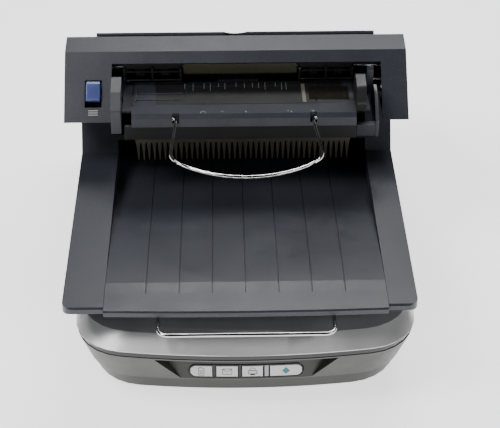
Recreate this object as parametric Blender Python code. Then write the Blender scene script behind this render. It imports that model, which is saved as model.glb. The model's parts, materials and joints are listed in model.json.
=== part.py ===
"""A flatbed scanner whose lid carries a sheet feeder.

Every size below is in millimetres and MM turns it into metres.
X runs to the right, Y to the rear and Z up. The origin is on the floor, under the middle of the object.
"""

import math

import bmesh
import bpy
from mathutils import Matrix, Vector

MM = 0.001

# ---- fits ----
GAP = 0.3  # between pieces that touch
LOOSE = 0.6  # between pieces that move past each other
OVER = 2.0  # how far a cutter runs past what it cuts

# ---- base ----
BASE_SHIFT = 5.0  # the base's middle lies this far to the right of the lid's
BASE_WIDTH = 296.0
BASE_DEPTH = 418.0
BASE_REAR = 207.0
DECK_Z = 70.0
TUB_WALL = 3.0
TUB_FLOOR_Z = 4.0
TUB_TOP_Z = 52.6
PLINTH_Z = 17.0
FRAME_BOTTOM_Z = 58.8
CORNER_RADIUS = 46.0
REAR_RADIUS = 14.0
FRONT_BOW_RADIUS = 750.0
FOOT_RADIUS = 9.0

# ---- deck and glass ----
GLASS_WIDTH = 224.0
GLASS_LENGTH = 303.0
GLASS_REAR = 143.0
GLASS_THICK = 2.7
GLASS_LEDGE = 4.0
WINDOW_REAR = 176.0
WINDOW_LENGTH = 18.0
DECK_THICK = 5.3
CHAMFER_SIDE = 5.4
CHAMFER_FRONT = 15.0
SCOOP_HALF = 67.0
SCOOP_DEPTH = 1.8  # how far its middle sags below its ends
SCOOP_WALL = (6.0, 5.0)  # width and height of its sloped ends

PORTS = {  # middle along X, width, lowest and highest Z
    "power_inlet": (-75.0, 14.0, 12.0, 24.0),
    "usb_port": (-45.0, 14.0, 12.0, 24.0),
}

# ---- button panel ----
PILL_HALF = 50.0
PILL_HEIGHT = 13.0
PILL_Z = 27.5
PANEL_LEAN = math.radians(10)  # the panel's top leans to the rear
PANEL_BELOW = 1.6  # from the pill's lower edge to where the panel meets the front
PANEL_TOP_Z = 50.6
PANEL_HALF = (57.0, 79.0)  # the panel's half width at its lower and upper edge
BEZEL_BORDER = 1.1
BUTTON_SPANS = {
    "document_button": (-48.9, -29.3),
    "mail_button": (-26.3, -7.0),
    "copy_button": (-3.9, 14.7),
    "start_button": (20.3, 48.7),
}
DIVIDER_SPAN = (15.9, 19.3)
BUTTON_PROUD = 0.6

# ---- carriage drive ----
ROD_RADIUS = 4.0
ROD_Z = 32.0
CARRIAGE_WIDTH = 236.0
CARRIAGE_LENGTH = 30.0
CARRIAGE_BOTTOM_Z = 43.0
PULLEY_RADIUS = 6.0
PULLEY_OFFSET = 36.0
BELT_THICK = 1.0
BELT_HEIGHT = 6.0
BELT_Z = 30.0
IDLER_INSET = 38.0

# ---- lid ----
LID_HALF = 150.0
RIM_LEFT = 35.0
RIM_RIGHT = 25.0
LID_FRONT = -165.0
LIP_FRONT = -196.0
LID_WALL = 2.5
LID_BOTTOM_Z = 71.3
LID_PLATE = 4.7
RIM_Z = 101.0
PANEL_FRONT = -203.0
PANEL_REAR = 84.0
PANEL_THICK = 2.5
PANEL_LOW_Z = 80.3
GROOVE_PITCH = 28.25
GROOVE_COUNT = 7
GROOVE_DEPTH = 0.7
GROOVE_WIDTH = 1.0
MAT_THICK = 3.7

# ---- lid hinge ----
HINGE_Y = 212.0
HINGE_Z = 80.0
HINGE_SPREAD = 85.0
POST_WIDTH = 18.0
POST_RADIUS = 6.7
HINGE_PIN_RADIUS = 3.0
LUG_RADIUS = 8.7

# ---- feeder cover ----
COVER_HALF = 162.5
COVER_WALL = 2.5
COVER_BOTTOM_Z = 149.0
COVER_FRONT = 23.0
CREASE = (75.0, 196.0)
CREST = (100.0, 199.0)
OPENING_LEFT = -118.0
OPENING_RIGHT = 138.0
OPENING_TOP_Y = 66.0
COVER_HINGE = (214.0, 112.0)
FLAP_HALF = 134.0
FLAP_THICK = 3.0
NOTCH_HALF = 11.0
LEVER_X = -135.2
LEVER_WIDTH = 13.6
LEVER_SLOT_START = 14.8
LEVER_SLOT = 27.0

# ---- feeder ----
SIDE_LEFT = -121.0
SIDE_RIGHT = 141.0
SIDE_THICK = 3.0
SHAFT_RADIUS = 3.0
PICKUP = (92.0, 171.0)  # roller axes, along Y and Z
FEED = (120.0, 167.5)
EXIT = (84.0, 98.0)
MOTOR = (160.0, 110.0)
PINCH = (80.0, 171.5)
FEEDER_PULLEY = 7.0
FEEDER_BELT_WIDTH = 4.0
PULLEY_WIDTH = 5.0
PICKUP_RADIUS = 10.0
FEED_RADIUS = 11.0
EXIT_RADIUS = 8.0
SHEET_WIDTH = 216.0

# ---- input tray ----
TRAY_LEFT = -107.0
TRAY_RIGHT = 124.5
TRAY_THICK = 3.0
TRAY_PIVOT = (88.0, 157.5)
LIP_LEFT = -97.5
LIP_RIGHT = 111.0
TRAY_PIN_RADIUS = 2.5
EDGE_GUIDE_X = 115.5
EDGE_GUIDE_Y = 34.0
EDGE_GUIDE_TRAVEL = 110.0
SUPPORT_WIRE_RADIUS = 1.8
SUPPORT_LEGS = (-56.6, 71.1)
SUPPORT_AXIS = (5.0, 162.5)
STOP_WIRE_RADIUS = 1.9
STOP_WIRE_HALF = 74.0
STOP_WIRE_FRONT = -222.0
STOP_WIRE_Z = 90.5

# ---- sizes that follow from the ones above ----
BASE_FRONT = BASE_REAR - BASE_DEPTH
BASE_HALF = BASE_WIDTH / 2
TUB_SETBACKS = (  # height, how far the side and the front lie inside the widest outline
    (TUB_FLOOR_Z, 14.0, 22.0),
    (PLINTH_Z, 10.0, 19.0),
    (PLINTH_Z + 1.0, 8.6, 17.2),
    (TUB_TOP_Z, 1.0, 1.8),
)
GLASS_FRONT = GLASS_REAR - GLASS_LENGTH
WINDOW_FRONT = WINDOW_REAR - WINDOW_LENGTH
WINDOW_MIDDLE = (WINDOW_FRONT + WINDOW_REAR) / 2
LEDGE_Z = DECK_Z - GAP - GLASS_THICK - GAP
DECK_UNDER_Z = DECK_Z - DECK_THICK
FRONT_RUN = TUB_SETBACKS[2][2] - TUB_SETBACKS[3][2]
FRONT_RISE = TUB_SETBACKS[3][0] - TUB_SETBACKS[2][0]
FRONT_ANGLE = math.atan2(FRONT_RUN, FRONT_RISE)
CHANNEL_LEFT = RIM_LEFT - LID_HALF
CHANNEL_RIGHT = LID_HALF - RIM_RIGHT
FASCIA_RUN = CREASE[0] - COVER_FRONT
FASCIA_RISE = CREASE[1] - COVER_BOTTOM_Z
FASCIA_LENGTH = math.hypot(FASCIA_RUN, FASCIA_RISE)

# ---- bodies: each moving one has an empty on its axis ----
HOMES = {"base": Vector((0, 0, 0))}
EMPTIES = {}


def clear_scene():
    for obj in list(bpy.data.objects):
        bpy.data.objects.remove(obj, do_unlink=True)


def body(name, at, parent="base"):
    """An empty on a moving body's axis, parented to the body that carries it."""
    empty = bpy.data.objects.new("axis_" + name, None)
    bpy.context.collection.objects.link(empty)
    HOMES[name] = Vector(at)
    if parent in EMPTIES:
        empty.parent = EMPTIES[parent]
    empty.location = (HOMES[name] - HOMES[parent]) * MM
    EMPTIES[name] = empty


def finish(name, colour, roughness, metallic=0.0, alpha=1.0):
    made = bpy.data.materials.new(name)
    made.use_nodes = True
    shader = made.node_tree.nodes["Principled BSDF"]
    shader.inputs["Base Color"].default_value = (*colour, 1.0)
    shader.inputs["Roughness"].default_value = roughness
    shader.inputs["Metallic"].default_value = metallic
    shader.inputs["Alpha"].default_value = alpha
    return made


def add(name, mesh, material, on="base", smooth=False):
    """Makes an object of a mesh given in millimetres in the part's frame."""
    bmesh.ops.recalc_face_normals(mesh, faces=mesh.faces)
    if mesh.calc_volume(signed=True) < 0:
        bmesh.ops.reverse_faces(mesh, faces=mesh.faces)
    home = HOMES[on]
    mesh.transform(Matrix.Scale(MM, 4) @ Matrix.Translation(-home))
    data = bpy.data.meshes.new(name)
    mesh.to_mesh(data)
    mesh.free()
    data.materials.append(material)
    if smooth:
        data.shade_smooth()
        data.set_sharp_from_angle(angle=math.radians(35))
    obj = bpy.data.objects.new(name, data)
    bpy.context.collection.objects.link(obj)
    if on in EMPTIES:
        obj.parent = EMPTIES[on]
    return obj


def combine(obj, mesh, operation, on="base"):
    """Cuts a mesh from an object, or joins it on, with a Boolean modifier."""
    count = len(obj.modifiers) + 1
    other = add(f"{obj.name}_{operation.lower()}_{count}", mesh, obj.data.materials[0], on)
    other.hide_render = True
    other.display_type = "WIRE"
    modifier = obj.modifiers.new(other.name, "BOOLEAN")
    modifier.operation = operation
    modifier.solver = "EXACT"
    modifier.object = other


def cut(obj, mesh, on="base"):
    combine(obj, mesh, "DIFFERENCE", on)


def join(obj, mesh, on="base"):
    combine(obj, mesh, "UNION", on)


# ---- mesh builders, all in millimetres ----
def lofted(loops, closed=False):
    """Skins a row of loops that have the same number of points, with an end cap on each open end."""
    mesh = bmesh.new()
    rings = [[mesh.verts.new(p) for p in loop] for loop in loops]
    pairs = list(zip(rings, rings[1:]))
    if closed:
        pairs.append((rings[-1], rings[0]))
    for near, far in pairs:
        for i in range(len(near)):
            j = (i + 1) % len(near)
            mesh.faces.new((near[i], near[j], far[j], far[i]))
    if not closed:
        ends = [mesh.faces.new(list(reversed(rings[0]))), mesh.faces.new(rings[-1])]
        mesh.normal_update()
        bmesh.ops.triangulate(mesh, faces=ends, ngon_method="EAR_CLIP")
    return mesh


AXIS_PLACES = {
    "X": lambda u, v, w: (w, u, v),
    "Y": lambda u, v, w: (u, w, v),
    "Z": lambda u, v, w: (u, v, w),
}


def extruded(outline, axis, low, high):
    """A flat outline pushed along an axis: (y, z) for X, (x, z) for Y and (x, y) for Z."""
    place = AXIS_PLACES[axis]
    return lofted([[place(u, v, w) for u, v in outline] for w in (low, high)])


def box(x0, x1, y0, y1, z0, z1):
    return extruded([(x0, y0), (x1, y0), (x1, y1), (x0, y1)], "Z", z0, z1)


def circle(centre, radius, steps):
    return [
        (centre[0] + radius * math.cos(2 * math.pi * i / steps),
         centre[1] + radius * math.sin(2 * math.pi * i / steps))
        for i in range(steps)
    ]


def turned(axis, centre, stations, steps=20, closed=False):
    """A round piece along an axis, from (place along it, radius) stations."""
    place = AXIS_PLACES[axis]
    loops = [[place(u, v, w) for u, v in circle(centre, r, steps)] for w, r in stations]
    return lofted(loops, closed)


def pipe(axis, centre, low, high, outer, inner, steps=20):
    """A round tube."""
    return turned(axis, centre, [(low, outer), (high, outer), (high, inner), (low, inner)], steps, True)


def rounded(points, radii, steps=4):
    """An outline with each corner rounded to its own radius."""
    made = []
    count = len(points)
    for i, radius in enumerate(radii):
        before, here, after = (Vector(points[(i + k) % count]) for k in (-1, 0, 1))
        if not radius:
            made.append(tuple(here))
            continue
        to_before = (before - here).normalized()
        to_after = (after - here).normalized()
        half = to_before.angle(to_after) / 2
        reach = radius / math.tan(half)
        centre = here + (to_before + to_after).normalized() * radius / math.sin(half)
        start = here + to_before * reach - centre
        end = here + to_after * reach - centre
        turn = start.angle_signed(end)
        for k in range(steps + 1):
            made.append(tuple(centre + Matrix.Rotation(-turn * k / steps, 2) @ start))
    return made


def wire(name, points, radius, material, on, sides=2):
    """A round wire along a line of points, with capped ends."""
    curve = bpy.data.curves.new(name, "CURVE")
    curve.dimensions = "3D"
    curve.bevel_depth = radius * MM
    curve.bevel_resolution = sides
    curve.use_fill_caps = True
    spline = curve.splines.new("POLY")
    spline.points.add(len(points) - 1)
    for point, place in zip(spline.points, points):
        point.co = (*((Vector(place) - HOMES[on]) * MM), 1.0)
    curve.materials.append(material)
    obj = bpy.data.objects.new(name, curve)
    bpy.context.collection.objects.link(obj)
    obj.parent = EMPTIES[on]
    return obj


def bent_path(points, radii, steps=5):
    """A line of points with its inner corners rounded, each to its own radius."""
    made = [Vector(points[0])]
    for before, here, after, radius in zip(points, points[1:], points[2:], radii):
        before, here, after = Vector(before), Vector(here), Vector(after)
        start = here + (before - here).normalized() * radius
        end = here + (after - here).normalized() * radius
        for k in range(steps + 1):
            t = k / steps
            made.append(start * (1 - t) ** 2 + here * 2 * t * (1 - t) + end * t * t)
    made.append(Vector(points[-1]))
    return made


# ---- outlines ----
def base_outline(side_inset, front_inset, rear_inset=0.0, bow_steps=12, corner_steps=6):
    """The base seen from above: a bowed front, large front corners and small rear ones."""
    half = BASE_HALF - side_inset
    front = BASE_FRONT + front_inset
    rear = BASE_REAR - rear_inset
    bow_y = front + FRONT_BOW_RADIUS
    swing = math.asin((half - CORNER_RADIUS) / (FRONT_BOW_RADIUS - CORNER_RADIUS))
    corner_y = bow_y - (FRONT_BOW_RADIUS - CORNER_RADIUS) * math.cos(swing)
    right = []
    for i in range(bow_steps + 1):
        a = swing * i / bow_steps
        right.append((FRONT_BOW_RADIUS * math.sin(a), bow_y - FRONT_BOW_RADIUS * math.cos(a)))
    for i in range(1, corner_steps + 1):
        a = swing + (math.pi / 2 - swing) * i / corner_steps
        right.append((half - CORNER_RADIUS + CORNER_RADIUS * math.sin(a),
                      corner_y - CORNER_RADIUS * math.cos(a)))
    for i in range(corner_steps + 1):
        a = math.pi / 2 * i / corner_steps
        right.append((half - REAR_RADIUS + REAR_RADIUS * math.cos(a),
                      rear - REAR_RADIUS + REAR_RADIUS * math.sin(a)))
    left = [(-x, y) for x, y in reversed(right[1:])]
    return [(x + BASE_SHIFT, y) for x, y in right + left]


def base_loop(z, side_inset, front_inset, rear_inset=0.0):
    return [(x, y, z) for x, y in base_outline(side_inset, front_inset, rear_inset)]


def tub_front(z):
    """The tub's front surface at a height, in the middle of its bow."""
    return BASE_FRONT + TUB_SETBACKS[3][2] + (TUB_TOP_Z - z) * math.tan(FRONT_ANGLE)


def bow_at(u):
    return FRONT_BOW_RADIUS - math.sqrt(FRONT_BOW_RADIUS**2 - u * u)


def front_place(u, v, w):
    """A point on the button panel: u to the right, v up the panel from the pill's middle, w outward."""
    below = PILL_HEIGHT / 2 + PANEL_BELOW
    foot_y = tub_front(PILL_Z - below * math.cos(PANEL_LEAN))
    along = (v + below) * math.sin(PANEL_LEAN) - w * math.cos(PANEL_LEAN)
    z = PILL_Z + v * math.cos(PANEL_LEAN) + w * math.sin(PANEL_LEAN)
    return (BASE_SHIFT + u, foot_y + along + bow_at(u), z)


def panel_block(grow, back, front):
    """The space before the button panel, from back behind its face to front outside the tub."""
    low = -PILL_HEIGHT / 2 - PANEL_BELOW - grow / 4
    top = (PANEL_TOP_Z + grow / 2 - PILL_Z) / math.cos(PANEL_LEAN)
    loops = []
    for i in range(9):
        across = i / 4 - 1
        ring = []
        for v, half in ((low, PANEL_HALF[0]), (top, PANEL_HALF[1])):
            x, y, z = front_place((half + grow) * across, v, -back)
            ring.append([(x, tub_front(z) + bow_at((half + grow) * across) - front, z), (x, y, z)])
        loops.append([ring[0][0], ring[0][1], ring[1][1], ring[1][0]])
    return lofted(loops)


def bar_edge(left, right, half, round_left, round_right, steps=6, runs=6):
    """(u, half height) along a bar, left to right; a round end closes to a small flat tip."""
    angles = [math.radians(12 + 78 * i / steps) for i in range(steps)]
    start = left + half if round_left else left
    stop = right - half if round_right else right
    ends = [(half * (1 - math.cos(a)), half * math.sin(a)) for a in angles]
    edge = [(left + x, h) for x, h in ends] if round_left else []
    edge += [(start + (stop - start) * i / runs, half) for i in range(runs + 1)]
    return edge + ([(right - x, h) for x, h in reversed(ends)] if round_right else [])


def bar_on_front(left, right, half, levels, round_left=False, round_right=False):
    """A bar on the bowed front; levels are (w, how far the outline shrinks), back to front."""
    edges = [(w, bar_edge(left + less, right - less, half - less, round_left, round_right)) for w,
             less in levels]
    loops = []
    for i in range(len(edges[0][1])):
        upper = [front_place(edge[i][0], edge[i][1], w) for w, edge in edges]
        lower = [front_place(edge[i][0], -edge[i][1], w) for w, edge in reversed(edges)]
        loops.append(upper + lower)
    return lofted(loops)


def fascia_place(s, n, x):
    """A point by the cover's sloped face: s up the slope from its lower edge and n outward."""
    y = COVER_FRONT + (s * FASCIA_RUN - n * FASCIA_RISE) / FASCIA_LENGTH
    z = COVER_BOTTOM_Z + (s * FASCIA_RISE + n * FASCIA_RUN) / FASCIA_LENGTH
    return (x, y, z)


def on_fascia(outline, x0, x1):
    return lofted([[fascia_place(s, n, x) for s, n in outline] for x in (x0, x1)])


def crest_line(y, drop=0.0):
    """Height of the cover's rear slope at a place along Y."""
    slope = (CREST[1] - COVER_HINGE[1]) / (CREST[0] - COVER_HINGE[0] - 2)
    return CREST[1] + (y - CREST[0]) * slope - drop


# ---- pieces ----
def make_base(m):
    bottom = base_loop(TUB_FLOOR_Z, TUB_SETBACKS[0][1], TUB_SETBACKS[0][2], 2.0)
    outer = [bottom] + [base_loop(z, side, front, 1.0) for z, side, front in TUB_SETBACKS[1:]]
    inner = [base_loop(max(z, TUB_FLOOR_Z + TUB_WALL), side + TUB_WALL, front + TUB_WALL, 1.0 + TUB_WALL)
             for z, side, front in reversed(TUB_SETBACKS)]
    tub = add("base_tub", lofted(outer + inner), m["base_grey"])
    join(tub, panel_block(TUB_WALL, TUB_WALL, -1.0))
    cut(tub, panel_block(0.0, 0.0, OVER))
    cut(tub, bar_on_front(-PILL_HALF, PILL_HALF, PILL_HEIGHT / 2, [(-TUB_WALL - OVER, -GAP), (OVER, -GAP)],
                          True, True))
    for x, width, low_z, high_z in PORTS.values():
        cut(tub, box(x - width / 2 - GAP, x + width / 2 + GAP, BASE_REAR - 3 * TUB_WALL, BASE_REAR + OVER,
                     low_z - GAP, high_z + GAP))
    for low_y in (BASE_FRONT + 27.0, BASE_REAR - 24.0):
        holder = extruded(rounded([(BASE_SHIFT - 8, TUB_FLOOR_Z + 1), (BASE_SHIFT + 8, TUB_FLOOR_Z + 1),
                                   (BASE_SHIFT + 8, ROD_Z + 8), (BASE_SHIFT - 8, ROD_Z + 8)], (0, 0, 4, 4)),
                          "Y", low_y, low_y + 5)
        join(tub, holder)
        cut(tub, turned("Y", (BASE_SHIFT, ROD_Z),
                        [(low_y - 1, ROD_RADIUS + GAP), (low_y + 6, ROD_RADIUS + GAP)]))

    low_ring = [base_loop(z, side, front, 0.6) for z, side, front in
                ((TUB_TOP_Z + GAP, 1.4, 2.2), (FRAME_BOTTOM_Z - GAP, 0.8, 1.2))]
    high_ring = [base_loop(z, side + 3, front + 3, 3.6) for z, side, front in
                 ((FRAME_BOTTOM_Z - GAP, 0.8, 1.2), (TUB_TOP_Z + GAP, 1.4, 2.2))]
    add("trim_band", lofted(low_ring + high_ring, closed=True), m["gloss_black"])

    edge_z = FRAME_BOTTOM_Z + 1.2
    frame = add("base_top_frame", lofted([
        base_loop(FRAME_BOTTOM_Z, 0.5, 0.5, 0.5), base_loop(edge_z, 0.0, 0.0, 0.0),
        base_loop(DECK_Z, CHAMFER_SIDE, CHAMFER_FRONT, 2.5)]), m["silver"])
    pocket = [base_loop(z, CHAMFER_SIDE + 2, CHAMFER_FRONT + 2,
                        5.0) for z in (FRAME_BOTTOM_Z - OVER, DECK_UNDER_Z)]
    cut(frame, lofted(pocket))
    for half, low_y, high_y, floor in (
            (GLASS_WIDTH / 2 + GAP, GLASS_FRONT - GAP, GLASS_REAR + GAP, LEDGE_Z),
            (GLASS_WIDTH / 2 - GLASS_LEDGE, GLASS_FRONT + GLASS_LEDGE, GLASS_REAR - GLASS_LEDGE,
             DECK_UNDER_Z - OVER),
            (GLASS_WIDTH / 2 + GAP, WINDOW_FRONT - GAP, WINDOW_REAR + GAP, LEDGE_Z),
            (GLASS_WIDTH / 2 - GLASS_LEDGE, WINDOW_FRONT + 3, WINDOW_REAR - 3, DECK_UNDER_Z - OVER)):
        cut(frame, box(BASE_SHIFT - half, BASE_SHIFT + half, low_y, high_y, floor, DECK_Z + OVER))
    for side in (-1, 1):
        x = BASE_SHIFT + side * HINGE_SPREAD
        half = POST_WIDTH / 2 + LOOSE
        join(frame, box(x - half - 3, x + half + 3, HINGE_Y - 27, HINGE_Y - 10.3, DECK_UNDER_Z - 17,
                        DECK_UNDER_Z + 1))
        cut(frame, box(x - half, x + half, HINGE_Y - 23 - LOOSE, HINGE_Y - 12 + LOOSE,
                       DECK_UNDER_Z - 17 - OVER, DECK_Z + OVER))
    scoop_radius = (SCOOP_HALF**2 + SCOOP_DEPTH**2) / (2 * SCOOP_DEPTH)
    swing = math.asin(SCOOP_HALF / scoop_radius)
    lens = [(scoop_radius * math.sin(swing * i / 8),
             -scoop_radius * math.cos(swing * i / 8)) for i in range(-8, 9)]
    wall = SCOOP_HALF + SCOOP_WALL[0]
    rise = SCOOP_DEPTH + SCOOP_WALL[1] - scoop_radius
    lens += [(wall, rise), (wall, 20 - scoop_radius), (-wall, 20 - scoop_radius), (-wall, rise)]
    front_face = (BASE_FRONT - 4, edge_z + scoop_radius - 3.0)
    deck_edge = (BASE_FRONT + CHAMFER_FRONT + 6, DECK_Z + scoop_radius)
    cut(frame, lofted([[(BASE_SHIFT + x, y, z + lift) for x, z in lens] for y,
                       lift in (front_face, deck_edge)]))

    half = GLASS_WIDTH / 2
    top = DECK_Z - GAP
    add("platen_glass", box(BASE_SHIFT - half, BASE_SHIFT + half, GLASS_FRONT, GLASS_REAR,
                            top - GLASS_THICK, top),
        m["clear_glass"])
    add("feeder_window", box(BASE_SHIFT - half, BASE_SHIFT + half, WINDOW_FRONT, WINDOW_REAR,
                             top - GLASS_THICK, top), m["clear_glass"])
    spots = [(side * (BASE_HALF - 32) + BASE_SHIFT, y) for side in (-1,
                                                                    1) for y in (BASE_FRONT + 55,
                                                                                 BASE_REAR - 22)]
    for name, spot in zip(("front_left", "rear_left", "front_right", "rear_right"), spots):
        add("foot_" + name, turned("Z", spot, [(0.0, FOOT_RADIUS - 1), (1.0, FOOT_RADIUS),
                                               (TUB_FLOOR_Z - GAP, FOOT_RADIUS)]), m["rubber"], smooth=True)


def make_button_panel(m):
    half = PILL_HEIGHT / 2
    bezel = add("button_bezel", bar_on_front(-PILL_HALF, PILL_HALF, half, [(-4.0, 0), (0.0, 0), (0.4, 0.5)],
                                             True, True),
                m["base_grey"])
    inner = half - BEZEL_BORDER
    through = [(-4.0 - OVER, -GAP), (OVER, -GAP)]
    for name, (left, right) in BUTTON_SPANS.items():
        ends = (name == "document_button", name == "start_button")
        cut(bezel, bar_on_front(left, right, inner, through, *ends))
        body(name, front_place((left + right) / 2, 0, 0))
        add(name, bar_on_front(left, right, inner, [(-6.0, -0.6), (-4.5, -0.6), (-4.49, 0), (BUTTON_PROUD, 0),
                                                    (BUTTON_PROUD + 0.4, 0.4)], *ends), m["silver"], name)
    cut(bezel, bar_on_front(*DIVIDER_SPAN, inner, through))
    add("status_light", bar_on_front(*DIVIDER_SPAN, inner, [(-4.0, 0), (0.7, 0)]), m["light_grey"])


def make_carriage(m):
    x = BASE_SHIFT
    low_y = WINDOW_MIDDLE - CARRIAGE_LENGTH / 2
    high_y = WINDOW_MIDDLE + CARRIAGE_LENGTH / 2
    top = DECK_UNDER_Z - 1.2
    body("carriage", (x, WINDOW_MIDDLE, ROD_Z))
    half = CARRIAGE_WIDTH / 2
    frame = add("carriage_frame", box(x - half, x + half, low_y, high_y, CARRIAGE_BOTTOM_Z, top),
                m["inner_black"], "carriage")
    join(frame, box(x - 12, x + 12, low_y, high_y, ROD_Z - 8, CARRIAGE_BOTTOM_Z + 1), "carriage")
    bore = ROD_RADIUS + GAP
    cut(frame, turned("Y", (x, ROD_Z), [(low_y - OVER, bore), (high_y + OVER, bore)]), "carriage")
    cut(frame, box(x - half + 8, x + half - 8, low_y + 4, high_y - 4, CARRIAGE_BOTTOM_Z + 6, top + OVER),
        "carriage")
    lamp_z = top - 5
    add("lamp_tube", turned("X", (WINDOW_MIDDLE - 7, lamp_z), [(x - half + 9, 2.5), (x + half - 9, 2.5)], 12),
        m["lamp_white"], "carriage", smooth=True)
    add("guide_rod", turned("Y", (x, ROD_Z), [(BASE_FRONT + 26, ROD_RADIUS), (BASE_REAR - 18, ROD_RADIUS)],
                            24),
        m["steel"], smooth=True)

    px = x + PULLEY_OFFSET
    ends = (BASE_FRONT + IDLER_INSET, BASE_REAR - 28.0)
    inner, outer = PULLEY_RADIUS + GAP, PULLEY_RADIUS + GAP + BELT_THICK

    def loop(radius, z):
        points = [(px + radius * math.cos(math.pi * i / 10), ends[1] + radius * math.sin(math.pi * i / 10), z)
                  for i in range(11)]
        return points + [(px - radius * math.cos(math.pi * i / 10),
                          ends[0] - radius * math.sin(math.pi * i / 10), z)
                         for i in range(11)]
    low, high = BELT_Z - BELT_HEIGHT / 2, BELT_Z + BELT_HEIGHT / 2
    add("drive_belt", lofted([loop(outer, low), loop(outer, high), loop(inner, high), loop(inner, low)],
                             True),
        m["rubber"])
    floor = TUB_FLOOR_Z + TUB_WALL + GAP
    motor = add("carriage_motor", turned("Z", (px, ends[1]), [(floor, 17.0), (low - 5, 17.0)], 24),
                m["steel"])
    join(motor, turned("Z", (px, ends[1]), [(low - 6, 2.0), (high + 4, 2.0)], 12))
    axle = [(floor - 1, 6.0), (floor + 4, 6.0), (floor + 4, 2.0), (high + 4, 2.0)]
    join(bpy.data.objects["base_tub"], turned("Z", (px, ends[0]), axle, 12))
    for name, y in (("drive_pulley", ends[1]), ("idler_pulley", ends[0])):
        body(name, (px, y, BELT_Z))
        flange = PULLEY_RADIUS + 2
        stations = [(low - 2.5, flange), (low - 1, flange), (low - 1, PULLEY_RADIUS),
                    (high + 1, PULLEY_RADIUS),
                    (high + 1, flange), (high + 2.5, flange), (high + 2.5, 2 + GAP), (low - 2.5, 2 + GAP)]
        add(name, turned("Z", (px, y), stations, 20, True), m["nylon"], name, smooth=True)
    grip = box(px + inner - 4, px + outer + 4, WINDOW_MIDDLE - 3.5, WINDOW_MIDDLE + 3.5, low - 2,
               CARRIAGE_BOTTOM_Z + 1)
    join(frame, grip, "carriage")
    cut(frame, box(px + inner - GAP, px + outer + GAP, WINDOW_MIDDLE - 9, WINDOW_MIDDLE + 9, low - 2 - OVER,
                   high + GAP),
        "carriage")

    board = add("main_board", box(x - 122, x - 35, -90, 70, floor + 3, floor + 4.6), m["circuit_green"])
    for px0, py0, wide, deep, tall in ((x - 100, -60, 22, 22, 3), (x - 65, -20, 14, 26, 2.5),
                                       (x - 108, 20, 12, 12, 9),
                                       (x - 80, 35, 10, 10, 12)):
        join(board, box(px0, px0 + wide, py0, py0 + deep, floor + 4, floor + 4.6 + tall))
    for name, (mid, width, low_z, high_z) in PORTS.items():
        port = add(name, box(mid - width / 2, mid + width / 2, BASE_REAR - 15, BASE_REAR - 0.5, low_z,
                             high_z),
                   m["inner_black"])
        if name == "power_inlet":
            cut(port, pipe("Y", (mid, (low_z + high_z) / 2), BASE_REAR - 10, BASE_REAR + OVER, 2.8, 1.0, 16))
        else:
            tongue = 1.6
            z = (low_z + high_z) / 2
            cut(port, lofted([[(mid + sx * u, y, z + sz * v) for sx,
                               sz in ((-1, -1), (1, -1), (1, 1), (-1, 1))]
                              for y, u, v in ((BASE_REAR - 10, width / 2 - 2, (high_z - low_z) / 2 - 2),
                                              (BASE_REAR + OVER, width / 2 - 2, (high_z - low_z) / 2 - 2),
                                              (BASE_REAR + OVER, width / 2 - 4, tongue),
                                              (BASE_REAR - 10, width / 2 - 4, tongue))], True))


def make_hinges(m):
    body("hinge_posts", (BASE_SHIFT, HINGE_Y, HINGE_Z))
    body("lid", (BASE_SHIFT, HINGE_Y, HINGE_Z), "hinge_posts")
    arc = [(HINGE_Y + POST_RADIUS * math.sin(a), HINGE_Z - POST_RADIUS * math.cos(a))
           for a in (math.pi * i / 10 for i in range(11))]
    leg_low = DECK_UNDER_Z - 36
    leg = [(HINGE_Y - 23, leg_low), (HINGE_Y - 12, leg_low), (HINGE_Y - 12, DECK_Z + 2.5)]
    leg += arc + [(HINGE_Y - 11, HINGE_Z + POST_RADIUS - 0.5), (HINGE_Y - 23, HINGE_Z - 1)]
    for name, side in (("left", -1), ("right", 1)):
        x = BASE_SHIFT + side * HINGE_SPREAD
        post = add("hinge_post_" + name, extruded(leg, "X", x - POST_WIDTH / 2, x + POST_WIDTH / 2),
                   m["shell_charcoal"], "hinge_posts")
        bore = HINGE_PIN_RADIUS + GAP
        cut(post, turned("X", (HINGE_Y, HINGE_Z), [(x - POST_WIDTH, bore), (x + POST_WIDTH, bore)]),
            "hinge_posts")


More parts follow.
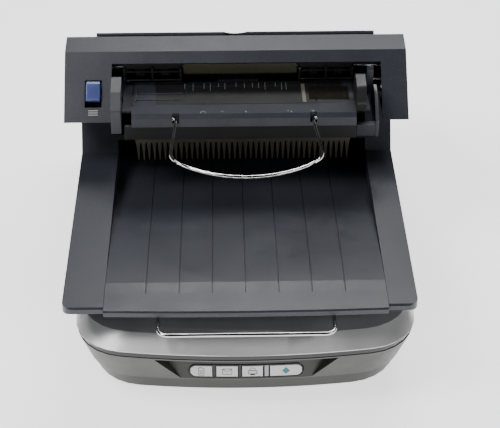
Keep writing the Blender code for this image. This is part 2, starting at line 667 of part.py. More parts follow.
def make_lid(m):
    bottom = LID_BOTTOM_Z
    plate_top = bottom + LID_PLATE
    shell_low = plate_top + GAP
    arc = [(HINGE_Y + LUG_RADIUS * math.sin(a), HINGE_Z - LUG_RADIUS * math.cos(a))
           for a in (math.pi / 2 * i / 6 for i in range(7))]
    rear = HINGE_Y + LUG_RADIUS
    side_top = COVER_BOTTOM_Z - LOOSE
    side = [(LID_FRONT, shell_low), (HINGE_Y - 9, shell_low), (HINGE_Y - 9, bottom)] + arc
    side += [(rear, 103.0), (209.0, 104.0), (151.0, side_top), (74.1, side_top), (58.6, 124.5),
             (44.0, RIM_Z + 1),
             (LIP_FRONT + 1.5, RIM_Z), (LIP_FRONT, RIM_Z - 1.5), (LIP_FRONT, 95.0), (LIP_FRONT + 2, 94.0),
             (LID_FRONT, 91.0)]
    shell = add("lid_frame", extruded(side, "X", -LID_HALF, LID_HALF), m["shell_charcoal"], "lid")
    for edge in (-LID_HALF, LID_HALF):
        r = 9.0
        inward = math.copysign(1, -edge)
        corner = [(edge - inward * OVER, LIP_FRONT - OVER), (edge + inward * r, LIP_FRONT - OVER)]
        corner += [(edge + inward * r * (1 - math.sin(a)), LIP_FRONT + r * (1 - math.cos(a)))
                   for a in (math.pi / 2 * i / 5 for i in range(6))]
        corner += [(edge - inward * OVER, LIP_FRONT + r)]
        cut(shell, extruded(corner, "Z", 85, 110), "lid")
    channel = [(LID_FRONT + LID_WALL, 60.0), (HINGE_Y - 11, 60.0), (HINGE_Y - 11, 95.0),
               (rear - LID_WALL, 95.0),
               (rear - LID_WALL, 160.0), (PANEL_FRONT - 20, 160.0), (PANEL_FRONT - 20, 88.5),
               (LID_FRONT + LID_WALL, 88.5)]
    cut(shell, extruded(channel, "X", CHANNEL_LEFT, CHANNEL_RIGHT), "lid")
    feeder = [(78.0, 59.0), (HINGE_Y - 10.5, 59.0), (HINGE_Y - 10.5, 96.0), (rear - LID_WALL, 96.0),
              (rear - LID_WALL, 161.0), (78.0, 161.0)]
    cut(shell, extruded(feeder, "X", LID_WALL - LID_HALF, LID_HALF - LID_WALL), "lid")
    rim = [(LID_FRONT + LID_WALL, 58.0), (80.0, 58.0), (80.0, side_top - LID_WALL),
           (75.5, side_top - LID_WALL),
           (60.5, 122.5), (45.5, RIM_Z - 2), (LIP_FRONT + 5, RIM_Z - 2.8), (LIP_FRONT + 5, 96.8),
           (LID_FRONT + LID_WALL, 93.6)]
    for x0, x1 in ((LID_WALL - LID_HALF, CHANNEL_LEFT - LID_WALL),
                   (CHANNEL_RIGHT + LID_WALL, LID_HALF - LID_WALL)):
        cut(shell, extruded(rim, "X", x0, x1), "lid")
    for side_of in (-1, 1):
        x = BASE_SHIFT + side_of * HINGE_SPREAD
        half = POST_WIDTH / 2 + 1
        cut(shell, box(x - half, x + half, HINGE_Y - 26, HINGE_Y + 12, 58, HINGE_Z + 9), "lid")
        pin = HINGE_PIN_RADIUS
        join(shell, turned("X", (HINGE_Y, HINGE_Z), [(x - half - 3, pin), (x + half + 3, pin)]), "lid")

    plate_rear = HINGE_Y - 9 - LOOSE
    plate = add("lid_bottom", box(GAP - LID_HALF, LID_HALF - GAP, LID_FRONT, plate_rear, bottom, plate_top),
                m["shell_charcoal"], "lid")
    mat_half = GLASS_WIDTH / 2
    mat_top = DECK_Z + GAP + MAT_THICK
    cut(plate, box(BASE_SHIFT - mat_half - 1, BASE_SHIFT + mat_half + 1, GLASS_FRONT - 1, GLASS_REAR + 1,
                   60, mat_top + GAP), "lid")
    cut(plate, box(SIDE_LEFT + 6, SIDE_RIGHT - 16, WINDOW_FRONT - 2, WINDOW_REAR + 3, 60, 90), "lid")
    for side_of in (-1, 1):
        x = BASE_SHIFT + side_of * HINGE_SPREAD
        half = POST_WIDTH / 2 + 1
        cut(plate, box(x - half, x + half, HINGE_Y - 25, HINGE_Y + 12, 60, 90), "lid")
    add("document_mat", box(BASE_SHIFT - mat_half, BASE_SHIFT + mat_half, GLASS_FRONT, GLASS_REAR,
                            DECK_Z + GAP, mat_top), m["mat_white"], "lid")

    panel_half = (CHANNEL_RIGHT - CHANNEL_LEFT) / 2 - GAP
    panel_x = (CHANNEL_RIGHT + CHANNEL_LEFT) / 2
    bend_y = LID_FRONT + 2.3
    drop = RIM_Z + 0.8 - PANEL_LOW_Z
    stations = [  # place along Y, top, bottom, groove depth, bow
        (PANEL_FRONT, RIM_Z - 1.2, 95.5, 0, 1), (PANEL_FRONT + 1.2, RIM_Z, 94.6, 0, 1),
        (PANEL_FRONT + 25, RIM_Z + 0.4, 94.4, 0, 0.6),
        (PANEL_FRONT + 27, RIM_Z + 0.4, 94.4, GROOVE_DEPTH, 0.5),
        (LID_FRONT - 1, RIM_Z + 0.7, 94.4, GROOVE_DEPTH, 0),
        (LID_FRONT - 0.9, RIM_Z + 0.7, 88.8, GROOVE_DEPTH, 0),
        (LID_FRONT + 2.2, RIM_Z + 0.8, 88.8, GROOVE_DEPTH, 0),
        (bend_y, RIM_Z + 0.8, RIM_Z + 0.8 - PANEL_THICK, GROOVE_DEPTH, 0)]
    for t in (0.06, 0.13, 0.21, 0.3, 0.4, 0.52, 0.66, 0.82, 1.0):
        z = RIM_Z + 0.8 - drop * t**1.4
        stations.append((bend_y + (40.0 - bend_y) * t, z, z - PANEL_THICK, GROOVE_DEPTH, 0))
    stations += [
        (PANEL_REAR, PANEL_LOW_Z - 0.6, PANEL_LOW_Z - 0.6 - PANEL_THICK + 0.6, GROOVE_DEPTH, 0)]
    grooves = [panel_x + (i - (GROOVE_COUNT - 1) / 2) * GROOVE_PITCH for i in range(GROOVE_COUNT)]

    def panel_loop(y, top, low, depth, bow):
        def at(x, z):
            return (x, y + bow * 2.2 * ((x - panel_x) / panel_half) ** 2, z)
        line = [at(panel_x - panel_half, top)]
        for x in grooves:
            line += [at(x - GROOVE_WIDTH / 2, top), at(x - GROOVE_WIDTH / 4, top - depth),
                     at(x + GROOVE_WIDTH / 4, top - depth), at(x + GROOVE_WIDTH / 2, top)]
        line += [at(panel_x + panel_half, top), at(panel_x + panel_half, low)]
        line += [at(x, low) for x in reversed(grooves)]
        return line + [at(panel_x - panel_half, low)]
    panel = add("output_tray", lofted([panel_loop(*s) for s in stations]), m["shell_charcoal"], "lid")
    for side_of in (-1, 1):
        x = BASE_SHIFT + side_of * STOP_WIRE_HALF
        hole = STOP_WIRE_RADIUS + GAP + 0.1
        cut(panel, turned("Y", (x, STOP_WIRE_Z), [(LID_FRONT - 4, hole), (LID_FRONT + 6, hole)], 12), "lid")

    body("stop_wire", (BASE_SHIFT, STOP_WIRE_FRONT, STOP_WIRE_Z), "lid")
    left, right = BASE_SHIFT - STOP_WIRE_HALF, BASE_SHIFT + STOP_WIRE_HALF
    front = STOP_WIRE_FRONT + STOP_WIRE_RADIUS
    rear_end = LID_FRONT + 75
    z = STOP_WIRE_Z
    route = [(left, rear_end, z), (left, front, z), (right, front, z), (right, rear_end, z)]
    wire("stop_wire", bent_path(route, (10.0, 10.0), 8), STOP_WIRE_RADIUS, m["chrome"], "stop_wire")


def make_feeder(m):
    plate_low = LID_BOTTOM_Z + LID_PLATE + GAP
    profile = [(80.0, plate_low), (HINGE_Y - 12, plate_low), (HINGE_Y - 12, 118.0), (150.0, 153.0),
               (106.0, 184.0),
               (84.0, 184.0), (80.0, 150.0)]
    for name, x in (("left", SIDE_LEFT - SIDE_THICK), ("right", SIDE_RIGHT)):
        side = add("feeder_side_" + name, extruded(profile, "X", x, x + SIDE_THICK), m["steel"], "lid")
        for y, z in (PICKUP, FEED, EXIT):
            hole = SHAFT_RADIUS + GAP
            cut(side, turned("X", (y, z), [(x - OVER, hole), (x + SIDE_THICK + OVER, hole)], 16), "lid")
        pin = (x + 1, TRAY_LEFT + 4) if name == "left" else (TRAY_RIGHT - 4, x + 1)
        join(side, turned("X", TRAY_PIVOT, [(pin[0], TRAY_PIN_RADIUS), (pin[1], TRAY_PIN_RADIUS)], 16), "lid")
    middle = TRAY_LEFT + 1 + SHEET_WIDTH / 2
    pulley = SIDE_LEFT - SIDE_THICK - 7
    ends = (pulley - 1, SIDE_RIGHT + SIDE_THICK + 2)
    r = SHAFT_RADIUS
    grooved = [(ends[0], r), (pulley, r), (pulley, FEEDER_PULLEY), (pulley + PULLEY_WIDTH, FEEDER_PULLEY),
               (pulley + PULLEY_WIDTH, r)]
    for name, (y, z), radius, width in (("pickup", PICKUP, PICKUP_RADIUS, 32.0),
                                        ("feed", FEED, FEED_RADIUS, 24.0)):
        body(name + "_roller", (middle, y, z), "lid")
        add(name + "_shaft", turned("X", (y, z), grooved + [(ends[1], r)], 14), m["steel"], name + "_roller",
            smooth=True)
        add(name + "_tyre", pipe("X", (y, z), middle - width / 2, middle + width / 2, radius, r + GAP, 20),
            m["rubber"], name + "_roller", smooth=True)
    body("exit_roller", (middle, *EXIT), "lid")
    stations = list(grooved)
    for x in (middle - 78, middle - 26, middle + 26, middle + 78):
        stations += [(x - 7, r), (x - 7, EXIT_RADIUS), (x + 7, EXIT_RADIUS), (x + 7, r)]
    add("exit_roller", turned("X", EXIT, stations + [(ends[1], r)], 14), m["rubber"], "exit_roller",
        smooth=True)
    add("feeder_belt", feeder_belt(pulley + (PULLEY_WIDTH - FEEDER_BELT_WIDTH) / 2), m["rubber"], "lid")
    motor = add("feeder_motor", turned("X", MOTOR, [(LID_WALL - LID_HALF + GAP, 16.0), (pulley - 2, 16.0)],
                                       24),
                m["steel"], "lid")
    join(motor, turned("X", MOTOR, [(pulley - 3, 2.5), (pulley, 2.5), (pulley, FEEDER_PULLEY),
                                    (pulley + PULLEY_WIDTH, FEEDER_PULLEY)], 20), "lid")

    left, right = SIDE_LEFT + LOOSE, SIDE_RIGHT - LOOSE
    add("separation_pad", extruded([(84.0, 154.0), (104.0, 154.0), (104.0, 157.5), (84.0, 159.5)], "X",
                                   middle - 20, middle + 20), m["rubber"], "lid")
    chute = [(80.5, 146.0), (106.0, 144.0), (150.0, 138.0), (150.0, 140.0), (106.0, 152.5), (80.5, 153.0)]
    add("paper_chute", extruded(chute, "X", left, right), m["inner_black"], "lid")
    turn = (HINGE_Y - 62, 112.0)
    arc = [(turn[0] + r * math.cos(a), turn[1] + r * math.sin(a)) for r,
           steps in ((34.0, range(9)), (32.0, range(8, -1, -1)))
           for a in (math.radians(70 - 150 * i / 8) for i in steps)]
    add("paper_turn_guide", extruded(arc, "X", left, right), m["inner_black"], "lid")
    under = [(48.0, 113.0), (80.0, 106.0), (80.0, 110.0), (52.0, 120.0), (48.0, 120.0)]
    add("feeder_underside", extruded(under, "X", CHANNEL_LEFT + GAP, CHANNEL_RIGHT - GAP), m["inner_black"],
        "lid")
    comb_left, comb_right, teeth = TRAY_LEFT + 9, TRAY_LEFT + 217, 40
    pitch = (comb_right - comb_left) / teeth
    outline = [(comb_left, 119.0), (comb_left, 111.5)]
    for i in range(teeth):
        x = comb_left + pitch * i
        outline += [(x + pitch * 0.12, 111.5), (x + pitch * 0.42, 92.0), (x + pitch * 0.58, 92.0),
                    (x + pitch * 0.88, 111.5)]
    outline += [(comb_right, 111.5), (comb_right, 119.0)]
    add("exit_comb", extruded(outline, "Y", 45.9, 47.7), m["comb_beige"], "lid")


def feeder_belt(x0):
    """A closed belt round the pulleys on the left side plate, in the order that it meets them."""
    places = [EXIT, MOTOR, FEED, PICKUP]

    def round_line(radius):
        line = []
        for i, here in enumerate(places):
            before, after = places[i - 1], places[(i + 1) % len(places)]
            a0 = math.atan2(here[1] - before[1], here[0] - before[0]) - math.pi / 2
            a1 = math.atan2(after[1] - here[1], after[0] - here[0]) - math.pi / 2
            while a1 < a0:
                a1 += 2 * math.pi
            line += [(here[0] + radius * math.cos(a0 + (a1 - a0) * k / 6),
                      here[1] + radius * math.sin(a0 + (a1 - a0) * k / 6)) for k in range(7)]
        return line
    inner, outer = round_line(FEEDER_PULLEY + GAP), round_line(FEEDER_PULLEY + GAP + BELT_THICK)
    x1 = x0 + FEEDER_BELT_WIDTH
    return lofted([[(x, y, z) for y, z in line] for x,
                   line in ((x0, outer), (x1, outer), (x1, inner), (x0, inner))], True)


def make_cover(m):
    body("cover", (0, *COVER_HINGE), "lid")
    rear_y = COVER_HINGE[0] + 2
    lower = [(COVER_FRONT, COVER_BOTTOM_Z), (152.0, COVER_BOTTOM_Z), (209.0, 106.0), (rear_y, 106.0),
             (rear_y, crest_line(rear_y)), (CREST[0], CREST[1]), CREASE]
    cover = add("feeder_cover", extruded(lower, "X", -COVER_HALF, COVER_HALF), m["shell_charcoal"], "cover")
    w = COVER_WALL
    hollow = [(COVER_FRONT + 7.0, COVER_BOTTOM_Z + w), (152.0, COVER_BOTTOM_Z + w), (207.0, 111.0),
              (rear_y - w, 110.0),
              (rear_y - w, crest_line(rear_y - w, 3.1)), (CREST[0] + 1, CREST[1] - 3.0),
              (CREASE[0] + 1.6, CREASE[1] - 3.0)]
    cut(cover, extruded(hollow, "X", w - COVER_HALF, COVER_HALF - w), "cover")
    under = LID_HALF + LOOSE
    below = [(CREASE[0] - 3.0, COVER_BOTTOM_Z - 50), (rear_y - w, COVER_BOTTOM_Z - 50), (rear_y - w, 110.9),
             (207.8, 111.9),
             (152.6, COVER_BOTTOM_Z + w + 1), (CREASE[0] - 3.0, COVER_BOTTOM_Z + w + 1)]
    cut(cover, extruded(below, "X", -under, under), "cover")
    swing = FLAP_HALF + 1
    cut(cover, box(-swing, swing, 200.0, rear_y + OVER, COVER_BOTTOM_Z - 50, 130.0), "cover")
    top_s = FASCIA_LENGTH * (OPENING_TOP_Y - COVER_FRONT) / FASCIA_RUN
    cut(cover, on_fascia([(-12.0, -13.0), (top_s, -13.0), (top_s, OVER), (-12.0, OVER)], OPENING_LEFT,
                         OPENING_RIGHT),
        "cover")
    cut(cover, box(OPENING_LEFT, OPENING_RIGHT, COVER_FRONT - OVER, CREASE[0] - 1, COVER_BOTTOM_Z - 5,
                   COVER_BOTTOM_Z + w + 2), "cover")
    half = LEVER_WIDTH / 2 + 1.2
    slot_end = LEVER_SLOT_START + LEVER_SLOT
    cut(cover, on_fascia([(LEVER_SLOT_START, -6.0), (slot_end, -6.0), (slot_end, OVER),
                          (LEVER_SLOT_START, OVER)],
                         LEVER_X - half, LEVER_X + half), "cover")
    flap_y0, flap_y1 = CREST[0] + 8, COVER_HINGE[0] - 8
    mouth = FLAP_HALF - 8
    cut(cover, extruded([(flap_y0, crest_line(flap_y0, 9)), (flap_y1, crest_line(flap_y1, 9)),
                         (flap_y1, crest_line(flap_y1, -4)), (flap_y0, crest_line(flap_y0, -4))],
                        "X", -mouth, mouth), "cover")

    body("release_lever", fascia_place(LEVER_SLOT_START + 14, -12.0, LEVER_X), "cover")
    s = LEVER_SLOT_START
    outline = [(s + 6, -3.0), (s + 11, -4.0), (s + 12, -14.0), (s + 16, -14.0), (s + 17, -4.0),
               (s + 25, -3.0),
               (s + 25, 2.5), (s + 22, 4.2), (s + 8, 4.2), (s + 6, 2.5)]
    add("release_lever", on_fascia(outline, LEVER_X - LEVER_WIDTH / 2, LEVER_X + LEVER_WIDTH / 2),
        m["lever_blue"],
        "release_lever")

    flap_low, flap_high = COVER_HINGE[0] + 4.0, CREST[0] + 1.0
    body("rear_flap", (0, flap_low, crest_line(flap_low, -FLAP_THICK)), "cover")
    lift = GAP + 0.2
    profile = [(flap_high, crest_line(flap_high, -lift)), (flap_low - 1, crest_line(flap_low - 1, -lift)),
               (flap_low + 3, crest_line(flap_low, -lift) - 5),
               (flap_low + 4, crest_line(flap_low, -lift) - 4),
               (flap_low + 3, crest_line(flap_low, -lift - FLAP_THICK)),
               (flap_high + 1.5, crest_line(flap_high, -lift - FLAP_THICK)),
               (flap_high, crest_line(flap_high, -lift) + 1.5)]
    flap = add("rear_flap", extruded(profile, "X", -FLAP_HALF, FLAP_HALF), m["shell_charcoal"], "rear_flap")
    cut(flap, turned("Z", (0, flap_high - 2), [(150, NOTCH_HALF), (230, NOTCH_HALF)], 24), "rear_flap")

    z = PINCH[1]
    for name, x0, x1 in (("left", -108.0, -52.0), ("right", 60.0, 113.0)):
        bracket = [(74.0, PINCH[1] + 3), (84.0, PINCH[1] + 3), (86.0, 181.0), (86.0, 191.5), (77.5, 191.5),
                   (74.0, 187.0)]
        frame = add("idler_bracket_" + name, extruded(bracket, "X", x0, x1), m["inner_black"], "cover")
        for end in (x0, x1 - 4):
            join(frame, extruded([(77.0, z - 4), (83.0, z - 4), (83.0, z + 5), (77.0, z + 5)], "X", end,
                                 end + 4), "cover")
        cut(frame, turned("X", PINCH, [(x0 - OVER, 2.4), (x1 + OVER, 2.4)], 12), "cover")
        cut(frame, box(x0 + 4, x1 - 4, 72.0, 90.0, z - 10, z + 6), "cover")
        body("pinch_roller_" + name, ((x0 + x1) / 2, *PINCH), "cover")
        mid = (x0 + x1) / 2
        stations = [(x0 + 0.5, 2.0)]
        for centre in (mid - 12, mid + 12):
            stations += [(centre - 4, 2.0), (centre - 4, 4.5), (centre + 4, 4.5), (centre + 4, 2.0)]
        stations.append((x1 - 0.5, 2.0))
        add("pinch_roller_" + name, turned("X", PINCH, stations, 14), m["rubber"], "pinch_roller_" + name,
            smooth=True)
    bar = [(73.0, 173.0), (75.0, 170.5), (79.5, 170.5), (80.0, 173.0), (84.0, 186.0), (84.0, 191.5),
           (77.5, 191.5),
           (74.0, 187.0), (73.0, 184.0)]
    add("guide_bar", extruded(bar, "X", -50.5, 58.5), m["olive"], "cover")


def make_input_tray(m):
    body("input_tray", (0, *TRAY_PIVOT), "lid")
    on = "input_tray"
    plate_left = TRAY_LEFT
    top = [(6.0, 168.0), (78.0, 160.5), (78.0, 160.5 - TRAY_THICK), (12.0, 167.4 - TRAY_THICK), (8.5, 162.0),
           (8.0, 156.7), (1.0, 156.7), (2.5, 164.5)]
    tray = add("input_tray", extruded(top, "X", LIP_LEFT, LIP_RIGHT), m["shell_charcoal"], on)
    wide = [(14.0, 166.6), (77.0, 160.1), (77.0, 160.5 - TRAY_THICK), (14.0, 167.6 - TRAY_THICK)]
    join(tray, extruded(wide, "X", plate_left, TRAY_RIGHT), on)
    ear = [(60.0, 160.0), (60.0, 153.0), (TRAY_PIVOT[0] - 1, 153.0), (TRAY_PIVOT[0] + 4, 157.5),
           (TRAY_PIVOT[0], 161.5), (74.0, 161.5)]
    for x0 in (TRAY_LEFT - 4, TRAY_RIGHT - 1):
        join(tray, extruded(ear, "X", x0, x0 + 5), on)
    hole = TRAY_PIN_RADIUS + GAP
    cut(tray, turned("X", TRAY_PIVOT, [(TRAY_LEFT - 8, hole), (TRAY_RIGHT + 8, hole)], 16), on)
    for x, side in zip(SUPPORT_LEGS, (-1, 1)):
        cut(tray, box(x - 3.2, x + 3.2, -6.0, SUPPORT_AXIS[0] + 2.4, SUPPORT_AXIS[1] - 2.4, 175.0), on)
        hole = SUPPORT_WIRE_RADIUS + GAP
        low_x, high_x = sorted((x, x + side * 9))
        cut(tray, turned("X", SUPPORT_AXIS, [(low_x, hole), (high_x, hole)], 14), on)
    slot = (EDGE_GUIDE_Y - 3.0, EDGE_GUIDE_Y + 3.0)
    cut(tray, box(EDGE_GUIDE_X - EDGE_GUIDE_TRAVEL - 4, TRAY_RIGHT - 2, *slot, 150, 175), on)
    add("tray_lower_panel", extruded([(4.0, 141.5), (7.0, 141.5), (7.6, 156.2), (4.0, 156.2)], "X",
                                     LIP_LEFT - 7, LIP_RIGHT), m["inner_black"], on)
    x1 = TRAY_LEFT - GAP
    arm = rounded([(2.0, 149.0), (4.0, 172.0), (18.0, 184.5), (38.0, 190.0), (44.0, 184.0), (30.0, 166.0),
                   (14.0, 149.0)],
                  (1, 4, 3, 3, 3, 4, 1), 3)
    add("left_guide", extruded(arm, "X", OPENING_LEFT + 1.4, x1), m["shell_grey"], on)
    bracket = [(3.0, 143.0), (58.0, 150.0), (58.0, 166.0), (40.0, 178.0), (28.0, 176.0), (3.0, 161.0)]
    side = add("side_bracket", extruded(bracket, "X", TRAY_RIGHT + 4.5, TRAY_RIGHT + 7.5),
               m["shell_charcoal"], on)
    join(side, extruded([(3.5, 143.5), (10.0, 144.5), (10.0, 155.5), (3.5, 155.5)], "X", LIP_RIGHT + GAP,
                        TRAY_RIGHT + 6), on)
    join(side, extruded([(49.0, 163.9), (55.0, 163.3), (55.0, 189.0), (51.0, 191.0), (49.0, 188.0)], "X",
                        TRAY_RIGHT - 1, TRAY_RIGHT + 5), on)

    body("edge_guide", (EDGE_GUIDE_X, EDGE_GUIDE_Y, 168.0), on)
    x = EDGE_GUIDE_X
    blade = rounded([(8.0, 168.5), (6.0, 177.0), (14.0, 190.0), (34.0, 193.0), (46.0, 186.0), (46.0, 164.7)],
                    (1, 5, 7, 6, 4, 1), 3)
    guide = add("edge_guide", extruded(blade, "X", x - 4.5, x + 4.5), m["inner_black"], "edge_guide")
    join(guide, box(x - 2.5, x + 2.5, EDGE_GUIDE_Y - 2.4, EDGE_GUIDE_Y + 2.4, 157.5, 172.0), "edge_guide")
    join(guide, box(x - 4, x + 4, EDGE_GUIDE_Y - 8, EDGE_GUIDE_Y + 8, 155.0, 158.0), "edge_guide")

    body("support_wire", (sum(SUPPORT_LEGS) / 2, *SUPPORT_AXIS), on)
    left, right = SUPPORT_LEGS
    y, z = SUPPORT_AXIS
    spread_l, spread_r, far_y, far_z = left - 3.7, right + 5.2, -64.0, z + 1.5
    chord = (spread_r - spread_l) / 2
    sag = 31.0
    arc_radius = (chord**2 + sag**2) / (2 * sag)
    swing = math.asin(chord / arc_radius)
    middle = (spread_l + spread_r) / 2
    bow = [(middle + arc_radius * math.sin(swing * i / 8),
            far_y - sag + arc_radius * (1 - math.cos(swing * i / 8)),
            far_z) for i in range(-8, 9)]
    legs = (2.6, 2.6, 10.0)
    route = bent_path([(left - 7.0, y, z), (left, y, z), (left, y - 8, z + 0.6), bow[0], bow[1]], legs)[:-1]
    route += bow[1:-1]
    route += bent_path([bow[-2], bow[-1], (right, y - 8, z + 0.6), (right, y, z), (right + 7.0, y, z)],
                       legs[::-1])[1:]
    wire("support_wire", route, SUPPORT_WIRE_RADIUS, m["chrome"], "support_wire")


def make_materials():
    return {
        "shell_charcoal": finish("shell_charcoal", (0.045, 0.052, 0.063), 0.42),
        "shell_grey": finish("shell_grey", (0.12, 0.125, 0.135), 0.45),
        "base_grey": finish("base_grey", (0.045, 0.045, 0.042), 0.45),
        "silver": finish("silver", (0.62, 0.62, 0.62), 0.32, 0.6),
        "light_grey": finish("light_grey", (0.45, 0.46, 0.47), 0.4),
        "gloss_black": finish("gloss_black", (0.01, 0.01, 0.01), 0.08),
        "inner_black": finish("inner_black", (0.012, 0.012, 0.013), 0.5),
        "comb_beige": finish("comb_beige", (0.45, 0.42, 0.34), 0.55),
        "olive": finish("olive", (0.10, 0.10, 0.06), 0.5),
        "lever_blue": finish("lever_blue", (0.05, 0.08, 0.30), 0.35),
        "mat_white": finish("mat_white", (0.85, 0.85, 0.84), 0.8),
        "rubber": finish("rubber", (0.02, 0.02, 0.02), 0.85),
        "nylon": finish("nylon", (0.7, 0.68, 0.62), 0.5),
        "lamp_white": finish("lamp_white", (0.9, 0.9, 0.9), 0.2),
        "circuit_green": finish("circuit_green", (0.02, 0.16, 0.07), 0.45),
        "steel": finish("steel", (0.55, 0.56, 0.57), 0.3, 1.0),
        "chrome": finish("chrome", (0.8, 0.8, 0.8), 0.08, 1.0),
        "clear_glass": finish("clear_glass", (0.85, 0.92, 0.9), 0.05, 0.0, 0.35),
    }


def main():
    clear_scene()
    m = make_materials()
    make_base(m)
    make_button_panel(m)
    make_carriage(m)
    make_hinges(m)
    make_lid(m)
    make_feeder(m)
    make_cover(m)
    make_input_tray(m)


main()
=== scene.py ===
import json
import math

import bmesh
import bpy
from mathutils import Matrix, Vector
from mathutils.bvhtree import BVHTree


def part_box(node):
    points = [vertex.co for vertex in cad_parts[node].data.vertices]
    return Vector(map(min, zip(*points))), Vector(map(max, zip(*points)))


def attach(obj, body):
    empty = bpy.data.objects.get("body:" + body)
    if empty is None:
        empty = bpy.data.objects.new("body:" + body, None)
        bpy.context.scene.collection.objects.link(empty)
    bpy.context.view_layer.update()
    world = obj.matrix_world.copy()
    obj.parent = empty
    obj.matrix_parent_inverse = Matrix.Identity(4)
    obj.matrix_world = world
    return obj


MM = 0.001
BEVEL_ANGLE = math.radians(28)
SMOOTH_ANGLE = math.radians(34)

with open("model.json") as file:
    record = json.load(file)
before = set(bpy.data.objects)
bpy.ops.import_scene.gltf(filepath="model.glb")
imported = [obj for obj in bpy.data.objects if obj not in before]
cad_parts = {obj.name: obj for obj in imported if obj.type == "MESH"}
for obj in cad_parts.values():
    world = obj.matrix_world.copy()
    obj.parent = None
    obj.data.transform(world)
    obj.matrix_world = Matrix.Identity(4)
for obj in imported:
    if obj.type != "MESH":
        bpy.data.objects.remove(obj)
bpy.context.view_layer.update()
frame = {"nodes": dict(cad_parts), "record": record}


# ---- materials: every one is made of nodes, in the object's own coordinates ----
class Graph:
    """Short names for the nodes of one material."""

    def __init__(self, name):
        self.made = bpy.data.materials.new(name)
        self.made.use_nodes = True
        self.tree = self.made.node_tree
        self.shader = self.tree.nodes["Principled BSDF"]
        self.place = self.tree.nodes.new("ShaderNodeTexCoord").outputs["Object"]

    def link(self, a, b):
        self.tree.links.new(a, b)

    def stretched(self, scale):
        node = self.tree.nodes.new("ShaderNodeMapping")
        node.inputs["Scale"].default_value = scale
        self.link(self.place, node.inputs["Vector"])
        return node.outputs["Vector"]

    def noise(self, scale, detail=3.0, rough=0.55, place=None):
        node = self.tree.nodes.new("ShaderNodeTexNoise")
        node.inputs["Scale"].default_value = scale
        node.inputs["Detail"].default_value = detail
        node.inputs["Roughness"].default_value = rough
        self.link(place or self.place, node.inputs["Vector"])
        return node.outputs["Fac"]

    def cells(self, scale, place=None):
        node = self.tree.nodes.new("ShaderNodeTexVoronoi")
        node.inputs["Scale"].default_value = scale
        self.link(place or self.place, node.inputs["Vector"])
        return node.outputs["Distance"]

    def spread(self, value, low, high, to_low=0.0, to_high=1.0):
        node = self.tree.nodes.new("ShaderNodeMapRange")
        node.inputs["From Min"].default_value = low
        node.inputs["From Max"].default_value = high
        node.inputs["To Min"].default_value = to_low
        node.inputs["To Max"].default_value = to_high
        self.link(value, node.inputs["Value"])
        return node.outputs["Result"]

    def mix(self, factor, a, b):
        node = self.tree.nodes.new("ShaderNodeMix")
        node.data_type = "RGBA"
        self.link(factor, node.inputs["Factor"])
        for value, socket in ((a, node.inputs["A"]), (b, node.inputs["B"])):
            if isinstance(value, tuple):
                socket.default_value = (*value, 1.0)
            else:
                self.link(value, socket)
        return node.outputs["Result"]

    def bump(self, *heights):
        """Chains bumps, each (height, strength, distance in metres)."""
        normal = None
        for height, strength, distance in heights:
            node = self.tree.nodes.new("ShaderNodeBump")
            node.inputs["Strength"].default_value = strength
            node.inputs["Distance"].default_value = distance
            self.link(height, node.inputs["Height"])
            if normal:
                self.link(normal, node.inputs["Normal"])
            normal = node.outputs["Normal"]
        self.link(normal, self.shader.inputs["Normal"])

    def done(self, colour, roughness, metallic=0.0, **plain):
        self.link(colour, self.shader.inputs["Base Color"])
        self.link(roughness, self.shader.inputs["Roughness"])
        self.shader.inputs["Metallic"].default_value = metallic
        for name, value in plain.items():
            self.shader.inputs[name.replace("_", " ")].default_value = value
        return self.made


def shade(colour, amount):
    return tuple(min(1.0, c * amount) for c in colour)


def moulded(name, colour, rough, grain=1500.0, strength=0.25, speck=0.45, coat=0.0):
    """Moulded plastic: fine spark-eroded grain, speckle, slow tone change, rubbed and dusty patches."""
    g = Graph(name)
    fine = g.noise(grain, 2.0)
    flecks = g.cells(grain * 0.55)
    slow = g.noise(14.0, 5.0, 0.6)
    rubbed = g.noise(45.0, 6.0, 0.7)
    tone = g.mix(g.spread(slow, 0.35, 0.65), shade(colour, 0.88), shade(colour, 1.12))
    tone = g.mix(g.spread(fine, 0.55, 0.75, 0.0, speck), tone, shade(colour, 1.9))
    tone = g.mix(g.spread(flecks, 0.0, 0.18, speck * 0.8, 0.0), tone, shade(colour, 0.55))
    roughness = g.tree.nodes.new("ShaderNodeMath")
    roughness.operation = "ADD"
    g.link(g.spread(rubbed, 0.3, 0.7, rough - 0.05, rough + 0.06), roughness.inputs[0])
    g.link(g.spread(fine, 0.3, 0.7, -0.03, 0.05), roughness.inputs[1])
    g.bump((fine, strength, 0.00006), (flecks, strength * 0.6, 0.00004), (slow, 0.02, 0.0002))
    return g.done(tone, roughness.outputs[0], Coat_Weight=coat)


def painted(name, colour, rough, metallic):
    """Silver paint: fine flakes, slight orange peel and handling marks."""
    g = Graph(name)
    flakes = g.cells(3200.0)
    peel = g.noise(380.0, 2.0)
    slow = g.noise(9.0, 4.0)
    marks = g.noise(60.0, 6.0, 0.75, g.stretched((1.0, 4.0, 1.0)))
    tone = g.mix(g.spread(slow, 0.35, 0.65), shade(colour, 0.94), shade(colour, 1.05))
    tone = g.mix(g.spread(flakes, 0.0, 0.35, 0.25, 0.0), tone, shade(colour, 1.15))
    g.bump((peel, 0.04, 0.00004), (flakes, 0.03, 0.00001))
    return g.done(tone, g.spread(marks, 0.3, 0.75, rough - 0.06, rough + 0.1), metallic, Coat_Weight=0.15)


